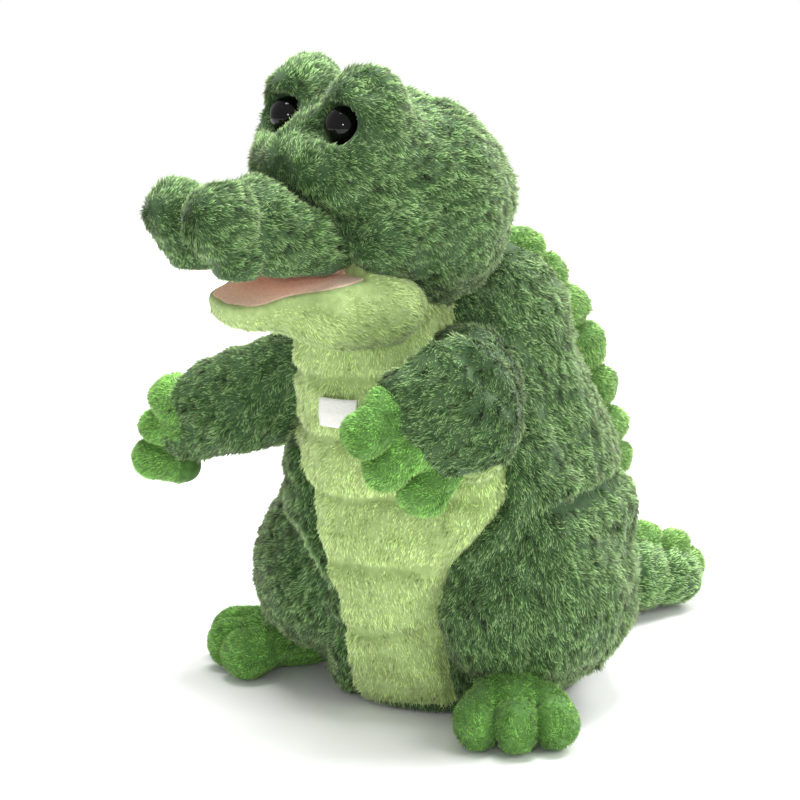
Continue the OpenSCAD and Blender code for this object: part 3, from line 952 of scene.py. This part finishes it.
def mouth():
    lo, hi = [-32, -136, 8], [32, -60, 40]
    felt = Skin(HEAD, mouth_felt, lo, hi, 0.9).object("mouth_lining", FELT_CLOTH)
    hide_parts("upper_palate", "lower_palate")
    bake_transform(felt)
    for above, moves_with, node in (
        (True, "head", "upper_mouth_board"), (False, "jaw", "lower_mouth_board"),
    ):
        board = Skin(HEAD, mouth_board(above), lo, hi, 0.8).object(node + "_sheet", BOARD_SHEET)
        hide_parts(node)
        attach(board, moves_with)


def eye(side):
    bpy.ops.mesh.primitive_uv_sphere_add(segments=48, ring_count=32, radius=EYE_R * MM)
    ob = bpy.context.object
    ob.name = f"eye_dome_{side}"
    co = np.array([v.co for v in ob.data.vertices])
    z = co[:, 2] / MM / EYE_R
    co[:, :2] *= np.where(z < -0.6, 0.92, 1.0)[:, None]
    ob.data.vertices.foreach_set("co", co.astype(np.float32).ravel())
    for f in ob.data.polygons:
        f.use_smooth = True
    ob.data.materials.append(EYE)
    way = eye_way(EYES[side])
    place = Matrix.Translation(HEAD.row(EYES[side] + way * EYE_PROUD))
    turn = Vector(HEAD.turn(way)).to_track_quat("Z", "Y").to_matrix().to_4x4()
    ob.matrix_world = place @ turn
    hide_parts(f"eye_{side}")
    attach(ob, "head")


# limbs
LIMB_SEED = {"left": 1, "right": 0}


def arm(side):
    """The dark sleeve and the pale panel that is sewn to its underside."""
    place = ARMS[side]
    root = place.local(BODY.row(ARM_ROOT[side]))
    lo = np.minimum(root, 0) - 36
    hi = np.maximum(root, 34) + 30
    hi[0] = 62
    start, end = place.row(root * 0.75), place.row([6, 0, 0])
    for kind, sign, plush, names in (
        ("sleeve", 1, DARK_PLUSH, ("arm_sleeve", "arm_stuffing")),
        ("panel", -1, PALE_PLUSH, ("arm_panel",)),
    ):
        part = Skin(place, arm_cloth(side, sign < 0), lo, hi, 1.4, arm_form(side))
        skin_ob, pile_ob = cover(
            part, f"arm_{kind}_{side}", plush, 2.3, 3.1, limb_flow, seed=20 + LIMB_SEED[side],
            keep=lambda p, sign=sign: (past_cuff(side, p) < 1) & (sign * pale_side(side, p) > -1.2),
        )
        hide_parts(*(f"{name}_{side}" for name in names))
        blend_with([skin_ob, pile_ob], "root", f"arm_{side}", start, end)


def paw(side):
    part = Skin(ARMS[side], paw_form(side), [14, -22, -42], [78, 22, 42], 1.1)
    skin_ob, pile_ob = cover(
        part, f"paw_{side}", LIME_PLUSH, 3.0, 1.9, limb_flow, seed=30 + LIMB_SEED[side],
        keep=lambda p: past_cuff(side, p) > -6, **SHORT_PAW,
    )
    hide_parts(f"paw_{side}")
    ride_with([skin_ob, pile_ob], f"arm_{side}")


def foot(side):
    part = Skin(FEET[side], foot_form, [-26, -34, -14], [48, 34, 24], 1.1)
    skin_ob, pile_ob = cover(
        part, f"foot_{side}", LIME_PLUSH, 3.0, 1.9, limb_flow, seed=40 + LIMB_SEED[side],
        keep=lambda p: p[:, 2] > 1.5 - FOOT_SOLE, **SHORT_PAW,
    )
    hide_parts(f"foot_{side}")
    ride_with([skin_ob, pile_ob], f"foot_{side}")


def tail():
    part = Skin(TAIL, tail_form, [-44, -28, -24], [70, 28, 30], 1.4)
    skin_ob, pile_ob = cover(
        part, "tail", DARK_PLUSH, 2.3, 3.1, limb_flow, seed=51, keep=lambda p: p[:, 2] > 2 - TAIL_SOLE,
        tone=lambda p: 0.12 + 0.3 * ease(p[:, 0], 0, 30),
    )
    lobes = Skin(TAIL, tail_lobes, [-4, -10, 0], [66, 10, 36], 1.0)
    lobe_skin, lobe_pile = cover(
        lobes, "tail_crest", CREST_PLUSH, 2.6, 2.0, limb_flow, seed=52, **SHORT_LOBE
    )
    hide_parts("tail_sleeve", "tail_stuffing")
    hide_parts("tail_crest")
    blend_with([skin_ob, pile_ob], "root", "tail", TAIL.row([-22, 0, 0]), TAIL.row([4, 0, 0]))
    ride_with([lobe_skin, lobe_pile], "tail")


# chest tag, laid on the belly panel
def surface_at(degrees, z):
    """The body's surface that way from its axis: the point and its normal, in the body's mm."""
    near, far = 20.0, 100.0
    for _ in range(30):
        mid = (near + far) / 2
        if body_form(np.array([spot(mid, degrees, z)], np.float32))[0] < 0:
            near = mid
        else:
            far = mid
    p = np.array([spot(near, degrees, z)], np.float32)
    return p[0], Skin.slope(body_form, p)[0][0]


def two_layers(cols, rows, closed):
    """Faces of a thin sheet whose points come layer by layer and row by row, the outer layer first.
    closed joins the last column to the first."""

    def at(layer, i, j):
        return (layer * rows + j) * cols + i % cols

    faces = []
    steps = cols if closed else cols - 1
    top = rows - 1
    for i in range(steps):
        for j in range(top):
            faces.append([at(0, i, j), at(0, i + 1, j), at(0, i + 1, j + 1), at(0, i, j + 1)])
            faces.append([at(1, i, j), at(1, i, j + 1), at(1, i + 1, j + 1), at(1, i + 1, j)])
        faces.append([at(1, i, 0), at(1, i + 1, 0), at(0, i + 1, 0), at(0, i, 0)])
        faces.append([at(0, i, top), at(0, i + 1, top), at(1, i + 1, top), at(1, i, top)])
    if not closed:
        for j in range(top):
            faces.append([at(0, 0, j), at(0, 0, j + 1), at(1, 0, j + 1), at(1, 0, j)])
            faces.append([at(1, steps, j), at(1, steps, j + 1), at(0, steps, j + 1), at(0, steps, j)])
    return np.array(faces)


def sheet_object(name, co, faces, mat, node):
    ob = raw_mesh(name, BODY.row(co), faces.ravel(), np.full(len(faces), 4))
    ob.data.materials.append(mat)
    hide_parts(node)
    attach(ob, "root")


TAG_W, TAG_H = 15.0, 11.0
TAG_DEG, TAG_Z = 1, 121
TAG_FACE, TAG_BACK = 3.6, 3.1


def chest_tag():
    """A woven tag that bows a little, over the belly's pile."""
    p, n = surface_at(TAG_DEG, TAG_Z)
    across = np.cross([0, 0, 1], n)
    across /= np.linalg.norm(across)
    up = np.cross(n, across)
    cols, rows = 13, 9
    co = []
    for layer in (TAG_FACE, TAG_BACK):
        for j in range(rows):
            for i in range(cols):
                u, v = i / (cols - 1) - 0.5, j / (rows - 1) - 0.5
                bow = -1.4 * (2 * u) ** 2 + 0.5 * math.cos(5 * v)
                co.append(p + across * u * TAG_W + up * v * TAG_H + n * (layer + bow))
    faces = two_layers(cols, rows, False)
    sheet_object("chest_tag_cloth", np.array(co), faces, WOVEN, "chest_tag")


# radius of the lining at each height
LINING_Z = [3, 10, 20, 40, 62, 80, 94, 108, 120, 129, 133]
LINING_R = [39, 41, 46, 53, 56, 55, 52, 48, 41, 31, 22.5]
LINING_THICK = 1.2


def lining():
    """A loose tube of cloth inside the body."""
    rows, cols = 60, 96
    foot, height = LINING_Z[0], LINING_Z[-1] - LINING_Z[0]
    co = []
    for layer in (0, -LINING_THICK):
        for j in range(rows):
            z = foot + height * j / (rows - 1)
            r = np.interp(z, LINING_Z, LINING_R) + layer
            for i in range(cols):
                a = 2 * math.pi * i / cols
                co.append([r * math.cos(a), r * math.sin(a), z])
    co = np.array(co)
    fold = 1.0 + 0.012 * (waves(co.astype(np.float32), 34, 91) - 1)
    co[:, :2] *= fold[:, None]
    faces = two_layers(cols, rows, True)
    sheet_object("glove_lining_cloth", co, faces, LINING, "glove_lining")


def dress_cad():
    """Hard and hidden pieces keep their CAD form."""
    looks = {"eye_washer_left": PLASTIC, "eye_washer_right": PLASTIC, "care_label": WOVEN}
    for node, mat in looks.items():
        ob = frame["nodes"][node]
        ob.data.materials.clear()
        ob.data.materials.append(mat)


body()
hem()
back_crest()
head()
jaw()
mouth()
for side in SIDES:
    eye(side)
for side in SIDES:
    arm(side)
    paw(side)
    foot(side)
tail()
chest_tag()
lining()
dress_cad()


# ---------- floor, light, camera ----------

FLOOR_R = 1.05
FILL = 0.62
LIGHT_TARGET = Vector((-0.01, -0.01, 0.11))
# each light: its place and its width in metres, and its power in watts
LIGHTS = {
    "key": ((-0.05, 0.05, 1.4), 0.75, 30),
    "side": ((1.3, 0.1, 0.9), 0.8, 8),
    "back": ((0.3, 1.1, 1.1), 0.8, 18),
    "glint": ((0.60, -0.90, 0.45), 0.09, 1.4),
}
CAMERA_TARGET = Vector((-0.0129, -0.0091, 0.1085))
CAMERA_AZIMUTH, CAMERA_RISE, CAMERA_AWAY = 40, 14, 1.01
CAMERA_LENS, CAMERA_SENSOR = 115.2, 36


def floor():
    bpy.ops.mesh.primitive_circle_add(radius=FLOOR_R, vertices=128, fill_type="NGON")
    ob = bpy.context.object
    ob.name = "floor"
    m, tree, bsdf = material("floor_paper", 0.9)
    noise = tree.nodes.new("ShaderNodeTexNoise")
    noise.inputs["Scale"].default_value = 3
    colours = ramp(tree, [(0.3, (0.90, 0.90, 0.90)), (0.7, (0.92, 0.92, 0.92))])
    tree.links.new(noise.outputs["Fac"], colours.inputs["Fac"])
    tree.links.new(colours.outputs["Color"], bsdf.inputs["Base Color"])
    ob.data.materials.append(m)


def studio():
    """A white surround that the camera sees, which lights the puppet less than it shows."""
    world = bpy.data.worlds.new("studio")
    bpy.context.scene.world = world
    world.use_nodes = True
    tree = world.node_tree
    seen = tree.nodes["Background"]
    seen.inputs["Color"].default_value = (1, 1, 1, 1)
    fill = tree.nodes.new("ShaderNodeBackground")
    fill.inputs["Strength"].default_value = FILL
    rays = tree.nodes.new("ShaderNodeLightPath")
    mix = tree.nodes.new("ShaderNodeMixShader")
    tree.links.new(rays.outputs["Is Camera Ray"], mix.inputs["Fac"])
    tree.links.new(fill.outputs["Background"], mix.inputs[1])
    tree.links.new(seen.outputs["Background"], mix.inputs[2])
    tree.links.new(mix.outputs["Shader"], tree.nodes["World Output"].inputs["Surface"])
    for name, (place, width, power) in LIGHTS.items():
        lamp = bpy.data.lights.new(name, "AREA")
        lamp.size = width
        lamp.energy = power
        ob = bpy.data.objects.new(name, lamp)
        bpy.context.scene.collection.objects.link(ob)
        ob.location = place
        ob.rotation_euler = (LIGHT_TARGET - ob.location).to_track_quat("-Z", "Y").to_euler()


def camera():
    cam = bpy.data.cameras.new("camera")
    cam.lens, cam.sensor_width = CAMERA_LENS, CAMERA_SENSOR
    ob = bpy.data.objects.new("camera", cam)
    bpy.context.scene.collection.objects.link(ob)
    a, e = math.radians(CAMERA_AZIMUTH), math.radians(CAMERA_RISE)
    back = Vector((math.sin(a) * math.cos(e), -math.cos(a) * math.cos(e), math.sin(e)))
    ob.location = CAMERA_TARGET + back * CAMERA_AWAY
    ob.rotation_euler = (-back).to_track_quat("-Z", "Y").to_euler()
    bpy.context.scene.camera = ob


floor()
studio()
camera()
bpy.context.scene.view_settings.view_transform = "Standard"
